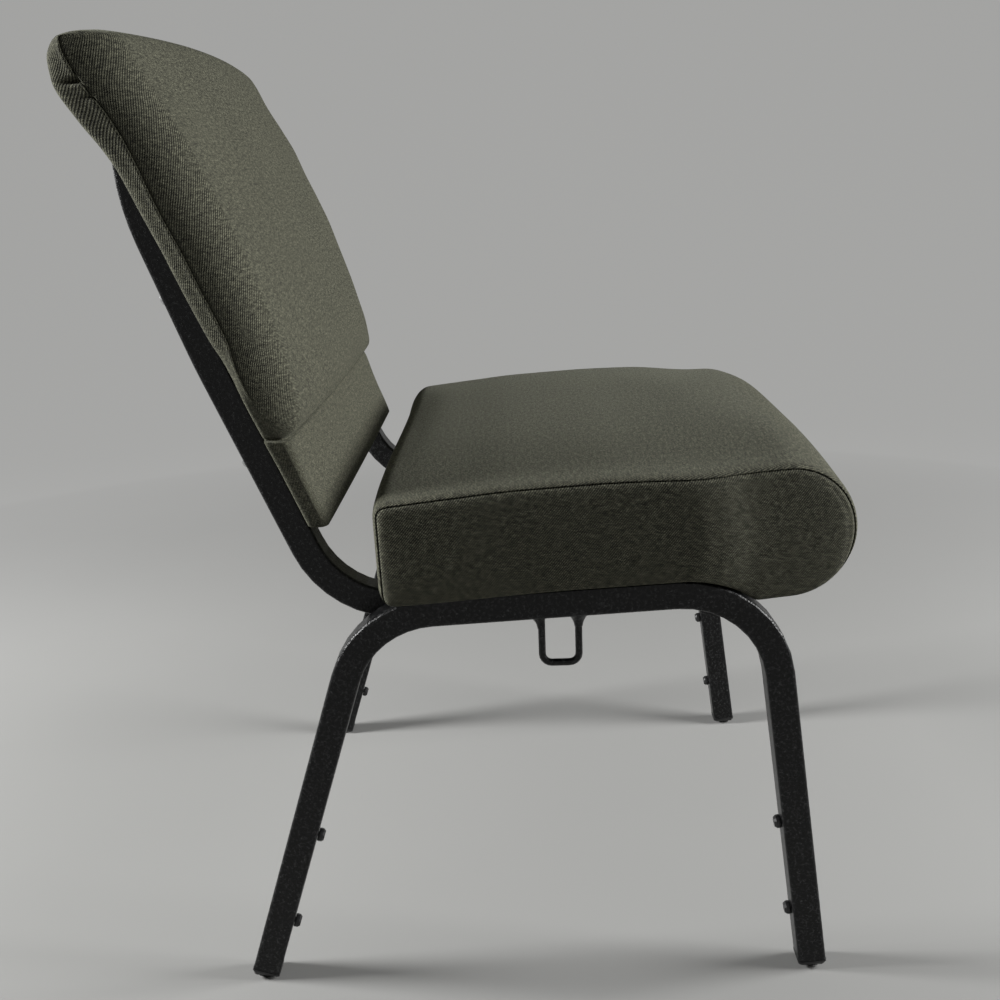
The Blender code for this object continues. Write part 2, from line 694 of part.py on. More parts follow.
bm = bmesh.new()
add_back(bm, COVER + FIT, FIT)
back_foam = make_object("back_foam", bm, FOAM)


def add_back_board(bm, low, reach, half_width, slack):
    """Bent board parallel to the uprights' front faces."""
    near = HALF + board_gap - slack
    far = HALF + board_gap + BACK_BOARD + slack
    rings = []
    for p, t in rising_path(low, reach):
        ahead = Vector((-t.y, t.x))
        a = p + ahead * near
        b = p + ahead * far
        rings.append([vec(sx * half_width, q.x, q.y) for sx, q in ((-1, a), (1, a), (1, b), (-1, b))])
    add_rings(bm, rings)


pocket = bmesh.new()
add_back_board(pocket, BACK_BOTTOM - HALF, BACK_BOARD_TOP + FIT, BACK_BOARD_HALF_WIDTH + FIT, FIT)
cut(back_foam, make_object("back_board_pocket", pocket), groove_cutter, back_hole_cutter)

bm = bmesh.new()
add_back_board(bm, BACK_BOTTOM + BACK_BOARD_LIFT, BACK_BOARD_TOP, BACK_BOARD_HALF_WIDTH, 0)
cut(make_object("back_board", bm, PLYWOOD), back_hole_cutter)

# Ganging loop: bent wire under the right rail, flared where it is welded on
loop_x = -LEG_SPACING / 2
rail_low = on_rails(-LOOP_REAR, -TUBE).y - FIT * 2
front_low = on_rails(-LOOP_REAR + LOOP_WIDTH, -TUBE).y - FIT * 2
loop_bottom = rail_low - LOOP_DROP
loop_corners = [
    Vector((LOOP_REAR, rail_low)),
    Vector((LOOP_REAR, loop_bottom)),
    Vector((LOOP_REAR - LOOP_WIDTH, loop_bottom)),
    Vector((LOOP_REAR - LOOP_WIDTH, front_low)),
]
loop_path = rounded_path(loop_corners, (LOOP_BEND, LOOP_BEND), (LOOP_STEPS, LOOP_STEPS))
loop_frames = side_frames(loop_path, loop_x, LOOP_WIRE / 2)
for end in (0, -1):
    origin, across, up, size = loop_frames[end]
    down = Vector((0, 0, -1))
    weld = (origin, across, up, size * LOOP_WELD)
    mid = (origin + down * (LOOP_WIRE * 0.3), across, up, size * (LOOP_WELD + 1) / 2 * 0.95)
    foot = (origin + down * (LOOP_WIRE * 0.7), across, up, size)
    if end == 0:
        loop_frames = [weld, mid, foot] + loop_frames[1:]
    else:
        loop_frames = loop_frames[:-1] + [foot, mid, weld]
bm = bmesh.new()
add_sweep(bm, loop_frames, round_loop(WIRE_SIDES))
make_object("ganging_loop", bm, FRAME_PAINT)

# Centre the chair's box on the origin
depths = []
for item in chair.children:
    if not item.hide_render:
        depths += [v.co.y for v in item.data.vertices]
chair.location.y = -(min(depths) + max(depths)) / 2
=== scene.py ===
import json
import math

import bmesh
import bpy
import numpy as np
from mathutils import Matrix, Vector


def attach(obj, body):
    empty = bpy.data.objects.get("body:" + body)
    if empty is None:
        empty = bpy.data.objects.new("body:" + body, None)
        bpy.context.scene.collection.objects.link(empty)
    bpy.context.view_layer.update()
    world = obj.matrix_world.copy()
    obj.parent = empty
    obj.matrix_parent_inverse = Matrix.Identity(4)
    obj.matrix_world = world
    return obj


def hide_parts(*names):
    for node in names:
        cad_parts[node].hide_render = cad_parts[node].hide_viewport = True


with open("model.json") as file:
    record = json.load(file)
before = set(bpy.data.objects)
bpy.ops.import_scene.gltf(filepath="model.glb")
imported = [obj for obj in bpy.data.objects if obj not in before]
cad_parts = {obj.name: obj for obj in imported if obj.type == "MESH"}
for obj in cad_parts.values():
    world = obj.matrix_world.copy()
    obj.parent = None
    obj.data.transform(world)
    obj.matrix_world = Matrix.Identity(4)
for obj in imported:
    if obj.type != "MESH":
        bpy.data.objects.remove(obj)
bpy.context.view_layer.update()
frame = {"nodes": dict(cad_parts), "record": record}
nodes = frame["nodes"]
scene = bpy.context.scene
scene.view_settings.view_transform = "Standard"

# Rail frame of the seat: ahead and above, from the top of the rails' middle
TUBE_HALF = 0.0127
RAIL_RISE = math.radians(2.66)
AHEAD = np.array((-math.cos(RAIL_RISE), math.sin(RAIL_RISE)))
ABOVE = np.array((math.sin(RAIL_RISE), math.cos(RAIL_RISE)))
RAIL_TOP = np.array((-0.0358975, 0.3703)) + ABOVE * TUBE_HALF


def on_rails(x, u, w):
    y, z = RAIL_TOP + AHEAD * u + ABOVE * w
    return (x, y, z)


# Camera fitted to the photograph
FOCAL_PIXELS = 1150
FRAME_PIXELS = 1000
SENSOR_MM = 36
CAMERA_PLACE = (-1.1723, -0.0426, 0.7312)
CAMERA_YAW = math.radians(1.634)
CAMERA_PITCH = math.radians(16.18)
CAMERA_ROLL = math.radians(-2.244)


def place_camera():
    yaw, pitch, roll = CAMERA_YAW, CAMERA_PITCH, CAMERA_ROLL
    level = math.cos(pitch)
    look = Vector((math.cos(yaw) * level, math.sin(yaw) * level, -math.sin(pitch)))
    right = look.cross(Vector((0, 0, 1))).normalized()
    up = right.cross(look)
    turned = right * math.cos(roll) + up * math.sin(roll)
    upright = up * math.cos(roll) - right * math.sin(roll)
    data = bpy.data.cameras.new("camera")
    data.sensor_width = SENSOR_MM
    data.lens = FOCAL_PIXELS * SENSOR_MM / FRAME_PIXELS
    data.clip_start = 0.02
    camera = bpy.data.objects.new("camera", data)
    matrix = Matrix((turned, upright, -look)).transposed().to_4x4()
    matrix.translation = CAMERA_PLACE
    camera.matrix_world = matrix
    scene.collection.objects.link(camera)
    scene.camera = camera


place_camera()


# Node helpers
def new_material(name, **sockets):
    mat = bpy.data.materials.new(name)
    mat.use_nodes = True
    shader = mat.node_tree.nodes["Principled BSDF"]
    for key, value in sockets.items():
        shader.inputs[key.replace("_", " ")].default_value = value
    return mat, mat.node_tree, shader


def add(tree, kind, inputs=(), **settings):
    node = tree.nodes.new("ShaderNode" + kind)
    for key, value in settings.items():
        setattr(node, key, value)
    for key, value in dict(inputs).items():
        if isinstance(value, bpy.types.NodeSocket):
            tree.links.new(value, node.inputs[key])
        else:
            node.inputs[key].default_value = value
    return node


def calc(tree, operation, a, b=0.0, c=None):
    inputs = {0: a, 1: b}
    if c is not None:
        inputs[2] = c
    return add(tree, "Math", inputs, operation=operation).outputs[0]


def ramp(tree, factor, stops):
    node = add(tree, "ValToRGB", {"Fac": factor})
    marks = node.color_ramp.elements
    while len(marks) < len(stops):
        marks.new(0.5)
    for mark, (place, colour) in zip(marks, stops):
        mark.position = place
        mark.color = (*colour, 1)
    return node.outputs["Color"]


def noise(tree, vector, scale, detail=2.0, roughness=0.5, distortion=0.0):
    node = add(tree, "TexNoise", {
        "Vector": vector, "Scale": scale, "Detail": detail,
        "Roughness": roughness, "Distortion": distortion,
    })
    return node.outputs["Fac"]


def bump(tree, shader, height, strength, distance):
    node = add(tree, "Bump", {"Height": height, "Strength": strength, "Distance": distance})
    tree.links.new(node.outputs["Normal"], shader.inputs["Normal"])


def object_coords(tree):
    return add(tree, "TexCoord").outputs["Object"]


# Materials. The weave's rib pitch is in metres, as its coordinates are.
RIB_PITCH = 0.0017
RIB_LEAN = math.radians(62)
DASH_RATE = 0.62


def make_fabric():
    mat, tree, shader = new_material(
        "moss_twill", Roughness=0.92, Specular_IOR_Level=0.16, Sheen_Weight=0.14,
        Sheen_Roughness=0.45, Sheen_Tint=(0.80, 0.82, 0.66, 1))
    uv = add(tree, "UVMap", uv_map="weave").outputs["UV"]
    split = add(tree, "SeparateXYZ", {0: uv})
    u, v = split.outputs[0], split.outputs[1]
    turn = 2 * math.pi / RIB_PITCH
    slant, slope = math.sin(RIB_LEAN), math.cos(RIB_LEAN)
    slip = calc(tree, "MULTIPLY", noise(tree, uv, 60, 2), 4)
    beside = calc(tree, "MULTIPLY_ADD", u, slant * turn, slip)
    rib = calc(tree, "SINE", calc(tree, "MULTIPLY_ADD", v, -slope * turn, beside))
    along = calc(tree, "MULTIPLY_ADD", u, slope * turn * DASH_RATE, slip)
    dash = calc(tree, "SINE", calc(tree, "MULTIPLY_ADD", v, slant * turn * DASH_RATE, along))
    twill = calc(tree, "MULTIPLY", rib, calc(tree, "MULTIPLY_ADD", dash, 0.35, 0.75))
    slubby = add(tree, "Mapping", {"Vector": uv, "Scale": (0.42, 1.0, 1.0)}).outputs["Vector"]
    yarn = noise(tree, slubby, 700, 2, 0.55)
    slub = noise(tree, slubby, 300, 2, 0.6)
    blotch = noise(tree, uv, 12, 3, 0.55)
    tone = calc(tree, "MULTIPLY_ADD", yarn, 1.15, calc(tree, "MULTIPLY_ADD", slub, 0.75, -0.485))
    tone = calc(tree, "MULTIPLY_ADD", blotch, 0.11, tone)
    tone = calc(tree, "MULTIPLY_ADD", twill, 0.37, tone)
    colour = ramp(tree, tone, (
        (0.0, (0.012, 0.012, 0.011)), (0.25, (0.032, 0.032, 0.026)),
        (0.5, (0.075, 0.075, 0.055)), (0.75, (0.146, 0.145, 0.104)), (1.0, (0.27, 0.27, 0.195))))
    tree.links.new(colour, shader.inputs["Base Color"])
    height = calc(tree, "MULTIPLY_ADD", yarn, 0.9, calc(tree, "MULTIPLY", twill, 0.5))
    bump(tree, shader, height, 0.4, 0.0006)
    return mat


def make_paint():
    mat, tree, shader = new_material("hammertone_paint", Specular_IOR_Level=0.28)
    at = object_coords(tree)
    worms = noise(tree, at, 640, 2, 0.55, 1.4)
    gap = calc(tree, "ABSOLUTE", calc(tree, "SUBTRACT", worms, 0.5))
    patch = noise(tree, at, 340, 2)
    limit = calc(tree, "MULTIPLY_ADD", patch, 0.12, -0.052)
    fleck = add(tree, "MapRange", {
        "Value": calc(tree, "SUBTRACT", limit, gap), "From Min": 0.0, "From Max": 0.010,
    }).outputs["Result"]
    colour = ramp(tree, fleck, ((0.0, (0.0020, 0.0021, 0.0023)), (1.0, (0.125, 0.127, 0.130))))
    tree.links.new(colour, shader.inputs["Base Color"])
    rough = add(tree, "MapRange", {"Value": patch, "To Min": 0.23, "To Max": 0.42}).outputs["Result"]
    tree.links.new(rough, shader.inputs["Roughness"])
    cells = add(
        tree, "TexVoronoi", {"Vector": at, "Scale": 560, "Smoothness": 0.6}, feature="SMOOTH_F1")
    height = calc(tree, "MULTIPLY_ADD", worms, 0.8, cells.outputs["Distance"])
    bump(tree, shader, height, 0.45, 0.0006)
    return mat


def make_plastic():
    mat, tree, shader = new_material("black_plastic", Specular_IOR_Level=0.45)
    at = object_coords(tree)
    grain = noise(tree, at, 900, 3)
    scuff = noise(tree, at, 70, 4, 0.65)
    colour = ramp(tree, scuff, ((0.35, (0.009, 0.009, 0.0095)), (0.8, (0.026, 0.026, 0.027))))
    tree.links.new(colour, shader.inputs["Base Color"])
    rough = add(tree, "MapRange", {"Value": scuff, "To Min": 0.28, "To Max": 0.55}).outputs["Result"]
    tree.links.new(rough, shader.inputs["Roughness"])
    bump(tree, shader, grain, 0.15, 0.0002)
    return mat


def make_steel():
    mat, tree, shader = new_material("zinc_steel", Metallic=1.0)
    at = object_coords(tree)
    bloom = noise(tree, at, 260, 4, 0.6)
    colour = ramp(tree, bloom, ((0.3, (0.30, 0.30, 0.29)), (0.7, (0.52, 0.53, 0.54))))
    tree.links.new(colour, shader.inputs["Base Color"])
    rough = add(tree, "MapRange", {"Value": bloom, "To Min": 0.25, "To Max": 0.5}).outputs["Result"]
    tree.links.new(rough, shader.inputs["Roughness"])
    bump(tree, shader, noise(tree, at, 1500, 2), 0.1, 0.0002)
    return mat


def make_dust_cloth():
    mat, tree, shader = new_material("dust_cloth", Roughness=0.95, Specular_IOR_Level=0.15)
    at = object_coords(tree)
    fibres = noise(tree, at, 650, 4, 0.7, 0.8)
    dots = add(tree, "TexVoronoi", {
        "Vector": at, "Scale": 420, "Randomness": 0.15,
    }).outputs["Distance"]
    colour = ramp(tree, fibres, ((0.3, (0.008, 0.008, 0.008)), (0.8, (0.040, 0.040, 0.041))))
    tree.links.new(colour, shader.inputs["Base Color"])
    bump(tree, shader, calc(tree, "ADD", fibres, dots), 0.5, 0.0004)
    return mat


def make_plywood():
    mat, tree, shader = new_material("bare_plywood", Roughness=0.7)
    at = add(tree, "Mapping", {"Vector": object_coords(tree), "Scale": (60, 4, 4)}).outputs["Vector"]
    grain = noise(tree, at, 3, 5, 0.6, 0.6)
    colour = ramp(tree, grain, ((0.3, (0.36, 0.24, 0.13)), (0.7, (0.60, 0.45, 0.27))))
    tree.links.new(colour, shader.inputs["Base Color"])
    bump(tree, shader, grain, 0.2, 0.0005)
    return mat


FLOOR_ENDS = 0.75
BACKDROP_STARTS = 1.9
BACKDROP_GLOW = 0.34


def make_stage():
    """Pale floor that turns into an evenly lit backdrop, which only the eye and reflections see."""
    mat, tree, shader = new_material(
        "stage", Roughness=0.95, Specular_IOR_Level=0.1, Emission_Color=(1, 1, 0.98, 1))
    at = object_coords(tree)
    tint = noise(tree, at, 2, 3)
    split = add(tree, "SeparateXYZ", {0: at})
    across = calc(tree, "MULTIPLY", split.outputs[0], split.outputs[0])
    away = calc(tree, "SQRT", calc(tree, "MULTIPLY_ADD", split.outputs[1], split.outputs[1], across))
    far = add(tree, "MapRange", {
        "Value": away, "From Min": FLOOR_ENDS, "From Max": BACKDROP_STARTS,
    }).outputs["Result"]
    glow = calc(tree, "MULTIPLY", far, BACKDROP_GLOW)
    ray = add(tree, "LightPath").outputs
    seen = calc(tree, "MAXIMUM", ray["Is Camera Ray"], ray["Is Glossy Ray"])
    seen = calc(tree, "MAXIMUM", seen, ray["Is Transmission Ray"])
    tree.links.new(calc(tree, "MULTIPLY", glow, seen), shader.inputs["Emission Strength"])
    shade = calc(tree, "MULTIPLY_ADD", tint, 0.08, far)
    colour = ramp(tree, shade, ((0.0, (0.38, 0.38, 0.37)), (1.0, (0.07, 0.07, 0.069))))
    tree.links.new(colour, shader.inputs["Base Color"])
    return mat


FABRIC = make_fabric()
PAINT = make_paint()
PLASTIC = make_plastic()
STEEL = make_steel()
DUST = make_dust_cloth()
PLY = make_plywood()

SLOT_MATERIALS = {
    "frame_paint": PAINT, "black_plastic": PLASTIC, "screw_steel": STEEL,
    "plywood": PLY, "dust_cloth": DUST, "fabric": FABRIC, "foam": FABRIC,
}
for part in frame["record"]["subparts"]:
    surface = nodes[part["node"]].data
    surface.materials.clear()
    surface.materials.append(SLOT_MATERIALS[part["material_slot"]])


# Curves
def pchip(knots, values, at):
    """Smooth curve through points that doesn't overshoot them."""
    x = np.asarray(knots, float)
    y = np.asarray(values, float)
    at = np.clip(np.asarray(at, float), x[0], x[-1])
    h = np.diff(x)
    d = np.diff(y) / h
    slope = np.zeros_like(y)
    slope[0], slope[-1] = d[0], d[-1]
    for i in range(1, len(d)):
        if d[i - 1] * d[i] > 0:
            a = 2 * h[i] + h[i - 1]
            b = h[i] + 2 * h[i - 1]
            slope[i] = (a + b) / (a / d[i - 1] + b / d[i])
    i = np.clip(np.searchsorted(x, at, side="right") - 1, 0, len(h) - 1)
    t = (at - x[i]) / h[i]
    low = y[i] * (1 + 2 * t) + h[i] * slope[i] * t
    high = y[i + 1] * (3 - 2 * t) + h[i] * slope[i + 1] * (t - 1)
    return low * (1 - t) ** 2 + high * t ** 2


def ease(low, high, at):
    t = np.clip((np.asarray(at, float) - low) / (high - low), 0, 1)
    return t * t * (3 - 2 * t)


def hump(middle, width, at):
    return np.exp(-((np.asarray(at, float) - middle) / width) ** 2)


def arc(centre, radius, start, end, steps=24):
    angles = np.radians(np.linspace(start, end, steps + 1))
    return np.stack((centre[0] + radius * np.cos(angles), centre[1] + radius * np.sin(angles)), 1)


def resample(points, count):
    """Evenly spaced points along a line, without its last one."""
    steps = np.linalg.norm(np.diff(points, axis=0), axis=1)
    points = points[np.concatenate(((True,), steps > 1e-9))]
    run = np.concatenate(((0,), np.cumsum(np.linalg.norm(np.diff(points, axis=0), axis=1))))
    at = np.linspace(0, run[-1], count + 1)[:-1]
    return np.stack([np.interp(at, run, points[:, k]) for k in range(points.shape[1])], 1)


# Meshes
def make_piece(name, points, faces, uvs, material):
    mesh = bpy.data.meshes.new(name)
    mesh.from_pydata([tuple(map(float, p)) for p in points], [], faces)
    if uvs is not None:
        layer = mesh.uv_layers.new(name="weave")
        flat = [c for face in uvs for uv in face for c in uv]
        layer.data.foreach_set("uv", np.asarray(flat, np.float32))
    mesh.materials.append(material)
    mesh.polygons.foreach_set("use_smooth", [True] * len(mesh.polygons))
    piece = bpy.data.objects.new(name, mesh)
    scene.collection.objects.link(piece)
    return piece


def face_outwards(piece):
    bm = bmesh.new()
    bm.from_mesh(piece.data)
    bmesh.ops.recalc_face_normals(bm, faces=bm.faces)
    bm.to_mesh(piece.data)
    bm.free()


def eased(piece, shift, pinned, rounds=40):
    """A shift of the points evened out along the edges, with the pinned points kept still."""
    ends = np.empty(2 * len(piece.data.edges), int)
    piece.data.edges.foreach_get("vertices", ends)
    one = np.concatenate((ends[0::2], ends[1::2]))
    two = np.concatenate((ends[1::2], ends[0::2]))
    degree = np.maximum(1, np.bincount(one, minlength=len(shift)))
    for _ in range(rounds):
        sums = [np.bincount(one, shift[two, k], len(shift)) for k in range(3)]
        near = np.stack([total / degree for total in sums], 1)
        shift = 0.5 * shift + 0.5 * near
        shift[pinned] = 0
    return shift


PUFF_PRESSURE = 2.0
PUFF_LIMIT = 0.003
PUFF_FRAMES = 14


def puff(piece, pinned):
    """Cloth simulation under pressure, held at the pinned points, with its result kept in the mesh."""
    rest = np.array([v.co for v in piece.data.vertices])
    group = piece.vertex_groups.new(name="pin")
    group.add([int(i) for i in np.flatnonzero(pinned)], 1.0, "REPLACE")
    cloth = piece.modifiers.new("cloth", "CLOTH")
    settings = cloth.settings
    settings.quality = 5
    settings.mass = 0.3
    settings.tension_stiffness = 12
    settings.compression_stiffness = 12
    settings.shear_stiffness = 5
    settings.bending_stiffness = 1.0
    settings.vertex_group_mass = "pin"
    settings.use_pressure = True
    settings.uniform_pressure_force = PUFF_PRESSURE
    settings.shrink_min = 0.0
    settings.effector_weights.gravity = 0
    cloth.collision_settings.use_collision = False
    cloth.point_cache.frame_start = 1
    cloth.point_cache.frame_end = PUFF_FRAMES
    for number in range(1, PUFF_FRAMES + 1):
        scene.frame_set(number)
    moved = piece.evaluated_get(bpy.context.evaluated_depsgraph_get())
    found = np.array([v.co for v in moved.data.vertices])
    shift = found - rest
    size = np.linalg.norm(shift, axis=1, keepdims=True)
    shift *= PUFF_LIMIT * np.tanh(size / PUFF_LIMIT) / np.maximum(size, 1e-9)
    shift = eased(piece, shift, pinned)
    piece.modifiers.remove(cloth)
    piece.vertex_groups.clear()
    scene.frame_set(1)
    piece.data.vertices.foreach_set("co", (rest + shift).ravel())
    piece.data.update()


def subdivide(piece, levels=1):
    smooth = piece.modifiers.new("smooth", "SUBSURF")
    smooth.levels = levels
    smooth.render_levels = levels


# Seat cushion, in the rail frame: x across, u ahead and w above
SEAT_HALF = 0.262
SEAT_LOW = 0.0003
SEAT_BACK = -0.1200
SEAT_RAKE = 0.0020
SEAT_BACK_HEIGHT = 0.0857
SEAT_ROUND = 0.009
SEAT_TOP = 0.0878
TOP_KNOTS = (-0.059, 0.0, 0.0666, 0.122, 0.151, 0.1865)
TOP_HEIGHTS = (0.0888, 0.09165, 0.092, 0.09025, 0.0887, 0.0881)
NOSE = np.array((0.2264, 0.0313))
NOSE_RADIUS = 0.0565
NOSE_TURN = 40
BEND = np.array((0.12699, -0.0997))
BEND_RADIUS = 0.1006
MOUTH_HALF = 0.198
MOUTH_BACK = -0.079
MOUTH_FRONT = 0.140
MOUTH_TUCK = 0.0021
SHORT_STEPS = 18
LONG_STEPS = 86
MIDDLE_STEPS = 38

# How far each side draws in towards the nose, and how far the side panel's middle lags behind its seam
TAPER_KNOTS = (0.145, 0.165, 0.1865, 0.205, 0.225, 0.250, 0.290)
TAPER_DEPTHS = (0.0, 0.0036, 0.0098, 0.0130, 0.0155, 0.0180, 0.0215)
TAPER_LAG = 0.009

# Stations over the side seam: place from the seat's edge, and depth below its outline
SEAM_STATIONS = (
    (-0.014, -0.0024), (-0.0085, -0.0023), (-0.0058, -0.0020), (-0.0036, -0.0014), (-0.0020, -0.0006),
    (-0.0012, 0.0002), (-0.0017, 0.0007), (-0.0056, 0.0010), (-0.0017, 0.0013), (-0.0004, 0.0020),
    (0.0005, 0.0030), (0.0011, 0.0046), (0.0016, 0.0068))
SEAM_GROOVE = 7
SIDE_BIAS = math.radians(-14)

# Swelling of the foam, in metres
CROWN = 0.0105
CROWN_AHEAD = 0.0042
NOSE_SWELL = 0.0005
FAR_DIP = 0.0026
FAR_RISE = 0.0028
REAR_SWELL = 0.0030
REAR_FAR_SWELL = 0.0045
PANEL_SWELL = 0.0016
CORNER_HANG = 0.0034


def seat_chains():
    """The seat's side outline as four runs: back edge, top, nose and underside, clockwise."""
    edge = SEAT_BACK + SEAT_ROUND
    low_corner = (edge - SEAT_RAKE, SEAT_LOW + SEAT_ROUND)
    high_corner = (edge, SEAT_BACK_HEIGHT - SEAT_ROUND)
    back = np.concatenate((
        arc(low_corner, SEAT_ROUND, 225, 180), arc(high_corner, SEAT_ROUND, 180, 135)))
    ahead = np.linspace(edge, NOSE[0], 80)
    knots = (edge, *TOP_KNOTS, NOSE[0])
    heights = (SEAT_BACK_HEIGHT, *TOP_HEIGHTS, SEAT_TOP)
    top = np.stack((ahead, pchip(knots, heights, ahead)), 1)
    top = np.concatenate((
        arc(high_corner, SEAT_ROUND, 135, 90), top, arc(NOSE, NOSE_RADIUS, 90, NOSE_TURN)))
    nose = arc(NOSE, NOSE_RADIUS, NOSE_TURN, -NOSE_TURN)
    hang = NOSE[1] - NOSE_RADIUS
    leave = 90 - math.degrees(math.acos((hang - BEND[1]) / BEND_RADIUS))
    meet = math.degrees(math.asin((SEAT_LOW - BEND[1]) / BEND_RADIUS))
    under = np.concatenate((
        arc(NOSE, NOSE_RADIUS, -NOSE_TURN, -90), arc(BEND, BEND_RADIUS, leave, meet),
        arc(low_corner, SEAT_ROUND, 270, 225)))
    runs = ((back, SHORT_STEPS), (top, LONG_STEPS), (nose, SHORT_STEPS), (under, LONG_STEPS))
    return [resample(run, count) for run, count in runs]


def nose_taper(ahead):
    return pchip(TAPER_KNOTS, TAPER_DEPTHS, ahead)


def seat_stations():
    """Stations across the seat, from one side panel's rim to the other's."""
    inner, depth = SEAM_STATIONS[0]
    inner = SEAT_HALF + inner
    half = [(inner * k / MIDDLE_STEPS, depth) for k in range(MIDDLE_STEPS)]
    half += [(SEAT_HALF + x, inset) for x, inset in SEAM_STATIONS]
    return [(-x, inset) for x, inset in reversed(half[1:])] + half


def seat_section(x, inset, ring, out):
    """The outline at one station, with the foam's swelling, the seam and the tucked underside."""
    ahead, above = ring[:, 0], ring[:, 1]
    out_ahead, out_up = out[:, 0], out[:, 1]
    upward = np.maximum(0, out_up)

    swell = max(0.0, 1 - (abs(x) / SEAT_HALF) ** 3)
    crown = CROWN + CROWN_AHEAD * ease(0.09, 0.18, ahead)
    push = swell * (crown * upward ** 2 + NOSE_SWELL * np.maximum(0, out_ahead) ** 2)
    push = push - FAR_DIP * ease(0.10, 0.22, x) * ease(0.170, 0.215, ahead) * ease(0.75, 0.95, out_up)
    push = push + FAR_RISE * ease(0.05, 0.24, x) * (1 - ease(0.140, 0.185, ahead)) * upward
    push = push * ease(-0.016, 0.020, above)
    rear_swell = max(0.0, 1 - (abs(x) / SEAT_HALF) ** 10)
    rear = REAR_SWELL * rear_swell + REAR_FAR_SWELL * ease(0.08, 0.24, x)
    push = push + rear * np.maximum(0, -out_ahead) ** 2
    snug = 1 - ease(0.2, 0.8, -out_up)
    room = np.where(inset < 0, inset * snug, inset * (0.35 + 0.65 * snug))
    section = ring + out * (push - room)[:, None]

    # The cover's underside rises to the board inside its mouth
    flat = (above < SEAT_LOW + 0.0005) & (out_up < -0.9)
    inside = ease(MOUTH_BACK - 0.012, MOUTH_BACK - 0.005, ahead)
    inside = inside * (1 - ease(MOUTH_FRONT + 0.005, MOUTH_FRONT + 0.012, ahead))
    inside = inside * (1 - ease(MOUTH_HALF + 0.004, MOUTH_HALF + 0.012, abs(x)))
    section[:, 1] += np.where(flat, MOUTH_TUCK * inside, 0)

    # The lower rear corner hangs a little over the rail
    hang = CORNER_HANG * ease(SEAT_HALF - 0.0036, SEAT_HALF - 0.0010, abs(x))
    hang = hang * (1 - ease(-0.112, 0.04, ahead)) * (1 - ease(0.004, 0.030, above))
    section[:, 1] -= hang
    narrow = 1 - nose_taper(ahead) / SEAT_HALF
    return [(x * share, u, w) for (u, w), share in zip(section, narrow)]


def on_side(u, w):
    """Weave coordinates on a side panel, whose cloth is cut on a slant."""
    along = u * math.cos(SIDE_BIAS) + w * math.sin(SIDE_BIAS)
    return along, w * math.cos(SIDE_BIAS) - u * math.sin(SIDE_BIAS)


def side_panel(sign, base, count, points, faces, uvs):
    """A patch stretched between the four runs of a side seam, swelling away from it."""
    high, far = SHORT_STEPS, 2 * SHORT_STEPS + LONG_STEPS
    rim = np.array([points[base + i][1:] for i in range(count)])
    left = [rim[a] for a in range(SHORT_STEPS + 1)]
    right = [rim[(far - a) % count] for a in range(SHORT_STEPS + 1)]
    top = [rim[high + b] for b in range(LONG_STEPS + 1)]
    low = [rim[(count - b) % count] for b in range(LONG_STEPS + 1)]

    grid = {}
    for a in range(SHORT_STEPS + 1):
        for b in range(LONG_STEPS + 1):
            if a == 0:
                grid[a, b] = base + (count - b) % count
            elif a == SHORT_STEPS:
                grid[a, b] = base + high + b
            elif b == 0:
                grid[a, b] = base + a
            elif b == LONG_STEPS:
                grid[a, b] = base + far - a
            else:
                s, t = a / SHORT_STEPS, b / LONG_STEPS
                p = (1 - s) * low[b] + s * top[b] + (1 - t) * left[a] + t * right[a]
                p = p - ((1 - s) * ((1 - t) * low[0] + t * low[-1]) + s * ((1 - t) * top[0] + t * top[-1]))
                gap = np.linalg.norm(rim - p, axis=1).min()
                x = SEAT_HALF + SEAM_STATIONS[-1][0] + PANEL_SWELL * (1 - math.exp(-gap / 0.014))
                x -= float(nose_taper(p[0] - TAPER_LAG * (1 - math.exp(-gap / 0.020))))
                grid[a, b] = len(points)
                points.append((sign * x, p[0], p[1]))

    for a in range(SHORT_STEPS):
        for b in range(LONG_STEPS):
            face = [grid[a, b], grid[a, b + 1], grid[a + 1, b + 1], grid[a + 1, b]]
            if sign < 0:
                face.reverse()
            faces.append(tuple(face))
            uvs.append([on_side(*points[i][1:]) for i in face])


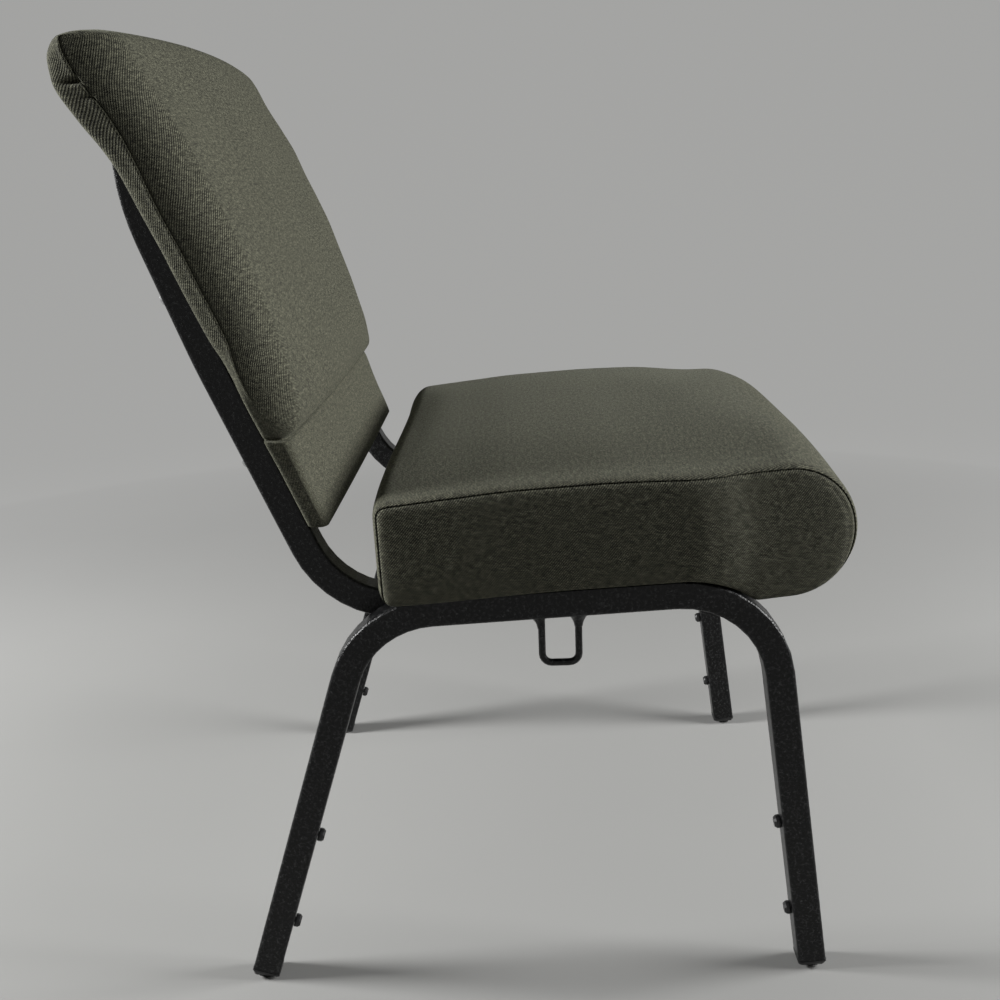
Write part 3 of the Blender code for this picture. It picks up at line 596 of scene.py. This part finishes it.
def build_seat():
    ring = np.concatenate(seat_chains())
    count = len(ring)
    along = np.roll(ring, -1, 0) - np.roll(ring, 1, 0)
    along /= np.linalg.norm(along, axis=1, keepdims=True)
    out = np.stack((-along[:, 1], along[:, 0]), 1)
    run = np.concatenate(((0,), np.cumsum(np.linalg.norm(np.roll(ring, -1, 0) - ring, axis=1))))
    stations = seat_stations()
    points = []
    for x, inset in stations:
        points += seat_section(x, inset, ring, out)

    def weave(j, i, side):
        x, u, w = points[j * count + i % count]
        return on_side(u, w) if side else (x, run[i])

    faces, uvs = [], []
    last = len(stations) - 1
    for j in range(last):
        side = min(j, last - 1 - j) < len(SEAM_STATIONS) - 1 - SEAM_GROOVE
        for i in range(count):
            k = (i + 1) % count
            faces.append((j * count + i, j * count + k, (j + 1) * count + k, (j + 1) * count + i))
            corners = ((j, i), (j, i + 1), (j + 1, i + 1), (j + 1, i))
            uvs.append([weave(*corner, side) for corner in corners])
    side_panel(-1, 0, count, points, faces, uvs)
    side_panel(1, last * count, count, points, faces, uvs)

    # Free for the simulation: the top and nose between the seams, and the side panels
    pinned = np.ones(len(points), bool)
    free_run = (out[:, 1] > -0.2) & (ring[:, 1] > 0.004)
    seam_start = SEAT_HALF + SEAM_STATIONS[0][0]
    for j, (x, _) in enumerate(stations):
        if abs(x) < seam_start - 0.001:
            pinned[j * count:(j + 1) * count] = ~free_run
    pinned[len(stations) * count:] = False

    placed = [on_rails(*point) for point in points]
    piece = make_piece("seat_cushion", placed, faces, uvs, FABRIC)
    face_outwards(piece)
    puff(piece, pinned)
    subdivide(piece)
    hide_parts("seat_cover", "seat_foam")
    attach(piece, "root")


build_seat()


# Back cushion
UPRIGHT_X = 0.2198
UPRIGHT_TIP = 0.752
CHANNEL_HALF = 0.0135
CHANNEL_TOP = 0.306
BACK_LOW = 0.4418
BACK_HALF = 0.244
FACE_HALF = 0.218
SNUG = -0.0008
BAND_LEAN = 0.0045
ROUND_STEPS = 16
CAP_STEPS = 6

# By height over the lower edge: depth of the rear behind the uprights' front, depths of the side seam and
# of the face before it, and share of the full width
PROFILE = np.array((
    (0.000, SNUG, 0.0140, 0.0182, 0.986), (0.001, SNUG, 0.0145, 0.0192, 0.988),
    (0.038, SNUG, 0.0152, 0.0210, 0.988), (0.074, SNUG, 0.0158, 0.0232, 0.988),
    (0.078, SNUG, 0.0150, 0.0228, 0.986), (0.084, SNUG, 0.0125, 0.0325, 0.988),
    (0.099, SNUG, 0.0100, 0.0419, 0.992), (0.124, SNUG, 0.0098, 0.0487, 0.996),
    (0.142, -0.0004, 0.0115, 0.0507, 1.0), (0.160, 0.0027, 0.0150, 0.0522, 1.0),
    (0.205, 0.0061, 0.0126, 0.0535, 1.0), (0.235, 0.0076, 0.0113, 0.0544, 1.0),
    (0.258, 0.0102, 0.0085, 0.0525, 1.0), (0.294, 0.0193, 0.0010, 0.0430, 1.0),
    (0.313, 0.0300, -0.0060, 0.0360, 1.0), (0.337, 0.0475, -0.0180, 0.0230, 1.0),
    (0.365, 0.0628, -0.0380, 0.0060, 1.0), (0.380, 0.0640, -0.0455, -0.0010, 0.998),
    (0.387, 0.0618, -0.0485, -0.0050, 0.995), (0.392, 0.0585, -0.0500, -0.0085, 0.990),
    (0.3955, 0.0545, -0.0505, -0.0125, 0.984)))
RISES = np.concatenate((
    (0.0, 0.0005, 0.0012, 0.0025, 0.005, 0.009), np.arange(0.013, 0.066, 0.006),
    (0.0680, 0.0705, 0.0725, 0.0740, 0.0750, 0.0756, 0.0760, 0.0765, 0.0772, 0.0780, 0.0790, 0.0805, 0.0825,
     0.0850, 0.0880, 0.0920),
    np.arange(0.097, 0.336, 0.006), np.arange(0.339, 0.373, 0.0013), np.arange(0.3745, 0.381, 0.0026),
    (0.3825, 0.3850, 0.3872, 0.3895, 0.3915, 0.3932, 0.3945, 0.3955)))
REAR_ACROSS = np.concatenate((np.linspace(0, 0.196, 15), (
    0.2030, 0.2052, 0.2061, 0.2070, 0.2110, 0.2198, 0.2286, 0.2326, 0.2335, 0.2342)))

# Lower edge of the upper sleeve, where the hem is sewn down over the lower panel
HEM_EDGE = 0.0758

# Creases in the band: side, height, depth, reach from the seam and width
CREASES = (
    (-1, 0.3625, 0.0062, 0.0150, 0.0075), (-1, 0.3510, 0.0034, 0.0085, 0.0045),
    (1, 0.3560, 0.0050, 0.0120, 0.0060), (1, 0.3690, 0.0026, 0.0080, 0.0040))


def upright_front():
    """Depth of the uprights' front face by height, read from the frame and carried on past the tip."""
    item = nodes["back_upright_right"]
    points = np.array([item.matrix_world @ v.co for v in item.data.vertices])
    edges = np.array([e.vertices for e in item.data.edges])
    a, b = points[edges[:, 0]], points[edges[:, 1]]
    heights = np.linspace(0.43, UPRIGHT_TIP, 90)
    depths = []
    for h in heights:
        hit = (a[:, 2] - h) * (b[:, 2] - h) < 0
        t = (h - a[hit, 2]) / (b[hit, 2] - a[hit, 2])
        depths.append((a[hit, 1] + (b[hit, 1] - a[hit, 1]) * t).min())
    slope = (depths[-1] - depths[-4]) / (heights[-1] - heights[-4])
    heights = np.append(heights, heights[-1] + 0.1)
    return heights, np.append(depths, depths[-1] + slope * 0.1)


FRONT_HEIGHTS, FRONT_DEPTHS = upright_front()


def back_row(r, rear, sew, lead, wide, stitch, pinch, proud):
    """Half of the outline at one height, from the middle of the rear round to the middle of the face."""
    base = np.interp(BACK_LOW + r, FRONT_HEIGHTS, FRONT_DEPTHS)
    half = BACK_HALF * wide + 0.0018 * proud - 0.0026 * pinch
    face = min(FACE_HALF, half - 0.012)
    face += (half - 0.0075 - face) * float(1 - ease(0.079, 0.105, r))
    rear_y, seam_y, front_y = base + rear, base - sew, base - lead
    row = []

    # Rear, drawn in round the uprights
    channel = r < CHANNEL_TOP
    for x in REAR_ACROSS:
        y = rear_y
        off = abs(x - UPRIGHT_X)
        if channel and off < CHANNEL_HALF:
            y = min(y, base + SNUG)
        elif channel:
            y = y - 0.0010 * hump(0, 0.004, off - CHANNEL_HALF) * ease(0.0, 0.004, rear)
        row.append((x, y))

    # Band from the rear's edge to the side seam
    band = rear_y - seam_y
    lean = BAND_LEAN * stitch
    row.append((half - lean - 0.0034, rear_y - 0.0003))
    row.append((half - lean - 0.0013, rear_y - min(0.0012, 0.12 * band)))
    row.append((half - lean * 0.85, rear_y - min(0.0032, 0.30 * band)))
    for part in (0.50, 0.70):
        row.append((half - lean * (0.95 - part), rear_y - band * part))
    row.append((half + 0.0005 * stitch, seam_y + min(0.0024, 0.15 * band)))
    row.append((half + 0.0004 * stitch, seam_y + min(0.0008, 0.06 * band)))
    row.append((half - 0.0022 * stitch, seam_y))

    # Rounded side, then the face with as many points as the rear has
    rear_count = len(row)
    depth = front_y - seam_y
    row.append((half + 0.0001 * stitch, seam_y - min(0.0007, 0.03 * (lead - sew))))
    row.append((half - 0.0001 * stitch, seam_y - min(0.0024, 0.11 * (lead - sew))))
    for k in range(1, ROUND_STEPS + 1):
        angle = math.radians(8 + 82 * k / ROUND_STEPS)
        row.append((face + (half - face) * math.cos(angle), seam_y + depth * math.sin(angle)))
    left_over = rear_count - 1 - (ROUND_STEPS + 2)
    for k in range(1, left_over + 1):
        x = face * (1 - k / left_over)
        crown = 0.008 * (1 - (x / face) ** 2) * min(1, (lead - sew) / 0.04)
        row.append((x, front_y - crown))
    return row


def back_points(rows):
    """Both halves of each row, with the upper edge arched."""
    points = []
    for r, row in zip(RISES, rows):
        lift = ease(0.325, 0.394, r)
        for x, y in row + [(-x, y) for x, y in row[-2:0:-1]]:
            out_to = abs(x) / BACK_HALF
            crest = 0.0072 * (1 - out_to ** 2) + 0.0032 * (1 - out_to ** 24)
            points.append((x, y, BACK_LOW + r + lift * crest))
    return points


def back_cap(base, ring_count, bulge, flip, points, faces, uvs):
    """Closes a row with columns between its paired rear and face points, bulging a little."""
    n = ring_count // 4
    columns = []
    for i in range(-n, n + 1):
        m = abs(i)
        rear, front = base + m, base + 2 * n - m
        if i < 0:
            rear, front = base + ring_count - m, base + ring_count - (2 * n - m)
        if m == n:
            columns.append([rear] * (CAP_STEPS + 1))
            continue
        p, q = np.array(points[rear]), np.array(points[front])
        column = [rear]
        for s in range(1, CAP_STEPS):
            t = s / CAP_STEPS
            c = p + (q - p) * t
            c[2] += bulge * math.sin(math.pi * t) * (1 - (m / n) ** 4)
            column.append(len(points))
            points.append(tuple(c))
        column.append(front)
        columns.append(column)
    for one, two in zip(columns, columns[1:]):
        for s in range(CAP_STEPS):
            face = list(dict.fromkeys((one[s], two[s], two[s + 1], one[s + 1])))
            if len(face) < 3:
                continue
            if flip:
                face.reverse()
            faces.append(tuple(face))
            uvs.append([points[v][:2] for v in face])


def gather_band(placed, seam):
    """Creases where the band is gathered at the seam, other ones on each side."""
    risen = placed[:, 2] - BACK_LOW
    base = np.interp(placed[:, 2], FRONT_HEIGHTS, FRONT_DEPTHS)
    behind_seam = placed[:, 1] - (base - np.interp(risen, RISES, seam))
    on_band = ease(0.2385, 0.2425, np.abs(placed[:, 0])) * (behind_seam > -0.0002)
    for sign, centre, depth, reach, width in CREASES:
        away = risen - centre
        taper = np.clip(1 - behind_seam / reach, 0.02, 1)
        wedge = ease(-0.0009, 0.0006, away) * (1 - ease(0.0, 1.0, away / (width * taper)))
        hold = on_band * ease(0, 0.35, taper) * (placed[:, 0] * sign > 0)
        lip = 0.22 * depth * hump(-0.0024, 0.0020, away)
        placed[:, 0] -= sign * (depth * wedge - lip) * hold


def build_back():
    behind, seam, front, share = (pchip(PROFILE[:, 0], PROFILE[:, k], RISES) for k in range(1, 5))
    stitched = ease(0.105, 0.135, RISES)
    hem = hump(0.0768, 0.0016, RISES) * (RISES > HEM_EDGE)
    flare = ease(0.050, 0.0735, RISES) * (RISES < HEM_EDGE)
    front = front - 0.0030 * hem + 0.0006 * flare
    rows = [back_row(*values) for values in zip(RISES, behind, seam, front, share, stitched, hem, flare)]
    points = back_points(rows)
    count = len(rows[0])
    ring_count = 2 * count - 2
    seam_at = (count - 1) // 2

    middle = rows[len(rows) // 2]
    closed = middle + [(-x, y) for x, y in middle[-2:0:-1]] + middle[:1]
    steps = np.linalg.norm(np.diff(np.array(closed), axis=0), axis=1)
    across = np.concatenate(((0,), np.cumsum(steps)))
    up = [0]
    for j in range(1, len(rows)):
        p = np.array(points[(j - 1) * ring_count + count - 1])
        q = np.array(points[j * ring_count + count - 1])
        up.append(up[-1] + np.linalg.norm(q - p))
    faces, uvs = [], []
    for j in range(len(rows) - 1):
        a, b = j * ring_count, (j + 1) * ring_count
        for i in range(ring_count):
            k = (i + 1) % ring_count
            faces.append((a + i, a + k, b + k, b + i))
            corners = ((i, j), (i + 1, j), (i + 1, j + 1), (i, j + 1))
            uvs.append([(-across[c], up[r]) for c, r in corners])
    back_cap((len(rows) - 1) * ring_count, ring_count, 0.004, False, points, faces, uvs)
    back_cap(0, ring_count, -0.001, True, points, faces, uvs)

    placed = np.array(points)
    gather_band(placed, seam)
    piece = make_piece("back_cushion", placed, faces, uvs, FABRIC)
    face_outwards(piece)

    # Free for the simulation: the padded face between the seams, above the hem
    pinned = np.ones(len(placed), bool)
    for j, r in enumerate(RISES):
        if 0.095 < r < 0.385:
            for i in range(ring_count):
                if min(i, ring_count - i) > seam_at + 2:
                    pinned[j * ring_count + i] = False
    puff(piece, pinned)
    subdivide(piece)
    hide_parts("back_cover", "back_foam")
    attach(piece, "root")


build_back()


# Underside of the seat
def tube(path, radii, sides, points, faces):
    """A capped tube along a path, with a radius at each point of it, added to the lists."""
    path = np.asarray(path, float)
    along = np.gradient(path, axis=0)
    along /= np.linalg.norm(along, axis=1, keepdims=True)
    across = np.cross(along[0], (0.31, 0.52, 0.79))
    first = len(points)
    for place, way, radius in zip(path, along, radii):
        across = across - way * across.dot(way)
        across /= np.linalg.norm(across)
        up = np.cross(way, across)
        for k in range(sides):
            angle = 2 * math.pi * k / sides
            points.append(tuple(place + radius * (math.cos(angle) * across + math.sin(angle) * up)))
    for j in range(len(path) - 1):
        a, b = first + j * sides, first + (j + 1) * sides
        for k in range(sides):
            m = (k + 1) % sides
            faces.append((a + k, a + m, b + m, b + k))
    faces.append(tuple(reversed(range(first, first + sides))))
    faces.append(tuple(range(len(points) - sides, len(points))))


CLOTH_HALF = 0.1972
CLOTH_BACK = -0.0782
CLOTH_FRONT = 0.1392
CLOTH_LEVEL = 0.0017
CLOTH_DRAW = 0.0012
CLOTH_THICKNESS = 0.0005
STAPLE_INSET = 0.0055
STAPLE_WIRE = 0.0004
STAPLES_ACROSS = 9
STAPLES_ALONG = 5


def build_dust_cloth():
    """Black cloth stapled over the board's underside, drawn in a little between its staples."""
    columns, rows = 108, 60
    points, faces = [], []

    def slack(share, count):
        return math.sin(math.pi * share * count) ** 2

    middle = (CLOTH_BACK + CLOTH_FRONT) / 2
    reach = (CLOTH_FRONT - CLOTH_BACK) / 2
    for j in range(rows + 1):
        t = j / rows
        end = 2 * t - 1
        along = slack(t, STAPLES_ALONG)
        for i in range(columns + 1):
            s = i / columns
            side = 2 * s - 1
            across = slack(s, STAPLES_ACROSS)
            x = side * (CLOTH_HALF - CLOTH_DRAW * along * abs(side) ** 12)
            u = middle + end * (reach - CLOTH_DRAW * across * abs(end) ** 12)
            edge = max(abs(side) ** 6, abs(end) ** 6)
            pull = along * abs(side) ** 5 + across * abs(end) ** 5
            w = CLOTH_LEVEL - 0.00045 * pull + 0.0002 * edge - 0.0002 * math.sin(9 * s + 5 * t)
            points.append(on_rails(x, u, w))
    for j in range(rows):
        for i in range(columns):
            a = j * (columns + 1) + i
            faces.append((a, a + 1, a + columns + 2, a + columns + 1))
    piece = make_piece("dust_cloth", points, faces, None, DUST)
    skin = piece.modifiers.new("skin", "SOLIDIFY")
    skin.thickness = CLOTH_THICKNESS
    skin.offset = 0
    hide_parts("seat_dust_cover")
    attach(piece, "root")
    staples = build_staples()


def build_staples():
    points, faces = [], []
    crown = [(-0.0050, 0.0013), (-0.0050, 0.0004), (-0.00485, 0.0001),
             (-0.0045, 0.0), (-0.0022, 0.0), (0.0, 0.0)]
    crown += [(-x, w) for x, w in reversed(crown[:-1])]

    def staple(x, u, turn):
        path = []
        for run, w in crown:
            across, ahead = run * math.cos(turn), run * math.sin(turn)
            path.append(on_rails(x + across, u + ahead, CLOTH_LEVEL - 0.0006 + w))
        tube(path, [STAPLE_WIRE] * len(path), 8, points, faces)

    for k in range(STAPLES_ACROSS + 1):
        x = (2 * k / STAPLES_ACROSS - 1) * (CLOTH_HALF - 0.010)
        tilt = 0.10 * math.sin(2.7 * k)
        staple(x, CLOTH_BACK + STAPLE_INSET, tilt)
        staple(x, CLOTH_FRONT - STAPLE_INSET, -tilt)
    for k in range(1, STAPLES_ALONG):
        u = CLOTH_BACK + (CLOTH_FRONT - CLOTH_BACK) * k / STAPLES_ALONG
        tilt = math.pi / 2 + 0.12 * math.sin(1.9 * k)
        staple(STAPLE_INSET - CLOTH_HALF, u, tilt)
        staple(CLOTH_HALF - STAPLE_INSET, u, -tilt)
    piece = make_piece("dust_cloth_staples", points, faces, None, STEEL)
    face_outwards(piece)
    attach(piece, "root")
    return piece


CROSS_TUBES = (0.1050, -0.0600)
CROSS_TUBE_END = 0.2069
TUBE_CORNER = 0.0035
UPRIGHT_JOIN = 0.23265
UPRIGHT_WELDS = (-0.052, 0.030, 0.112)
UPRIGHT_WELD_HALF = 0.014
RIPPLE = 0.0030

# Ends of the ganging loop: place along the rail, lean to the rear and radius of the weld at the rail
LOOP_X = -0.2455
LOOP_WIRE = 0.0031
LOOP_ENDS = ((0.01144, 0.0030, 0.0062), (0.04346, 0.0, 0.0098))


def build_welds():
    """Rippled beads at the cross tubes and along the uprights, and flares at the ganging loop."""
    points, faces = [], []

    def bead(path, radius):
        path = np.asarray(path, float)
        length = np.linalg.norm(np.diff(path, axis=0), axis=1).sum()
        path = np.concatenate((resample(path, int(length / 0.0007)), path[-1:]))
        run = np.linspace(0, length, len(path))
        fade = np.minimum(1, np.minimum(run, length - run) / 0.003) ** 0.5
        radii = radius * (0.25 + 0.75 * fade) * (1 + 0.13 * np.sin(2 * math.pi * run / RIPPLE))
        tube(path, radii, 10, points, faces)

    low = -2 * TUBE_HALF
    bottom = low + TUBE_CORNER
    for centre in CROSS_TUBES:
        front, rear = centre + TUBE_HALF, centre - TUBE_HALF
        ring = [(front, -0.0030), (front, bottom)]
        ring += [tuple(q) for q in arc((front - TUBE_CORNER, bottom), TUBE_CORNER, 0, -90, 6)]
        ring += [tuple(q) for q in arc((rear + TUBE_CORNER, bottom), TUBE_CORNER, 270, 180, 6)]
        ring += [(rear, -0.0030)]
        for sign in (-1, 1):
            bead([on_rails(sign * CROSS_TUBE_END, u, w) for u, w in ring], 0.0021)
    for middle in UPRIGHT_WELDS:
        for sign in (-1, 1):
            run = (middle - UPRIGHT_WELD_HALF, middle + UPRIGHT_WELD_HALF)
            bead([on_rails(sign * UPRIGHT_JOIN, u, low + 0.0008) for u in run], 0.0024)
    below = np.linspace(0, 0.0125, 13)
    spread = np.exp(-((below / 0.0062) ** 1.3))
    for u, back, foot in LOOP_ENDS:
        x, y, z = on_rails(LOOP_X, u, low - 0.0001)
        path = [(x, y + back * s, z - d) for d, s in zip(below, spread)]
        tube(path, LOOP_WIRE + (foot - LOOP_WIRE) * spread, 16, points, faces)
    piece = make_piece("weld_beads", points, faces, None, PAINT)
    face_outwards(piece)
    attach(piece, "root")


build_dust_cloth()
build_welds()


# Stage and light
STAGE_FLAT = 2.2
STAGE_CURVE = 1.6
STAGE_WIDE = 3.8
STAGE_SIDES = 72


def build_stage():
    """A round floor that curves up into a wall all round."""
    profile = [(0.5, 0.0), (1.2, 0.0), (STAGE_FLAT, 0.0)]
    for k in range(1, 13):
        angle = math.radians(90 * k / 12)
        radius = STAGE_FLAT + STAGE_CURVE * math.sin(angle)
        profile.append((radius, STAGE_CURVE - STAGE_CURVE * math.cos(angle)))
    profile += [(STAGE_WIDE, 2.4), (STAGE_WIDE, 3.4)]
    points = [(0, 0, 0)]
    faces = []
    for radius, height in profile:
        for k in range(STAGE_SIDES):
            angle = 2 * math.pi * k / STAGE_SIDES
            points.append((radius * math.cos(angle), radius * math.sin(angle), height))
    for k in range(STAGE_SIDES):
        faces.append((0, 1 + k, 1 + (k + 1) % STAGE_SIDES))
    for j in range(len(profile) - 1):
        a = 1 + j * STAGE_SIDES
        b = a + STAGE_SIDES
        for k in range(STAGE_SIDES):
            m = (k + 1) % STAGE_SIDES
            faces.append((a + k, b + k, b + m, a + m))
    mesh = bpy.data.meshes.new("stage")
    mesh.from_pydata(points, [], faces)
    mesh.polygons.foreach_set("use_smooth", [True] * len(faces))
    mesh.materials.append(make_stage())
    stage = bpy.data.objects.new("stage", mesh)
    scene.collection.objects.link(stage)


build_stage()


LAMP_AIM = Vector((0, 0, 0.42))


def add_lamp(name, toward, distance, size, watts):
    data = bpy.data.lights.new(name, "AREA")
    data.shape = "DISK"
    data.size = size
    data.energy = watts
    lamp = bpy.data.objects.new(name, data)
    toward = Vector(toward).normalized()
    lamp.location = LAMP_AIM + toward * distance
    lamp.rotation_euler = toward.to_track_quat("Z", "Y").to_euler()
    scene.collection.objects.link(lamp)


add_lamp("key", toward=(-0.05, 0.92, 0.36), distance=2.4, size=0.7, watts=82)
add_lamp("front", toward=(-0.05, -0.94, 0.32), distance=2.6, size=1.2, watts=82)
world = bpy.data.worlds.new("world")
world.use_nodes = True
sky = world.node_tree.nodes["Background"].inputs
sky["Color"].default_value = (1, 1, 1, 1)
sky["Strength"].default_value = 0.08
scene.world = world
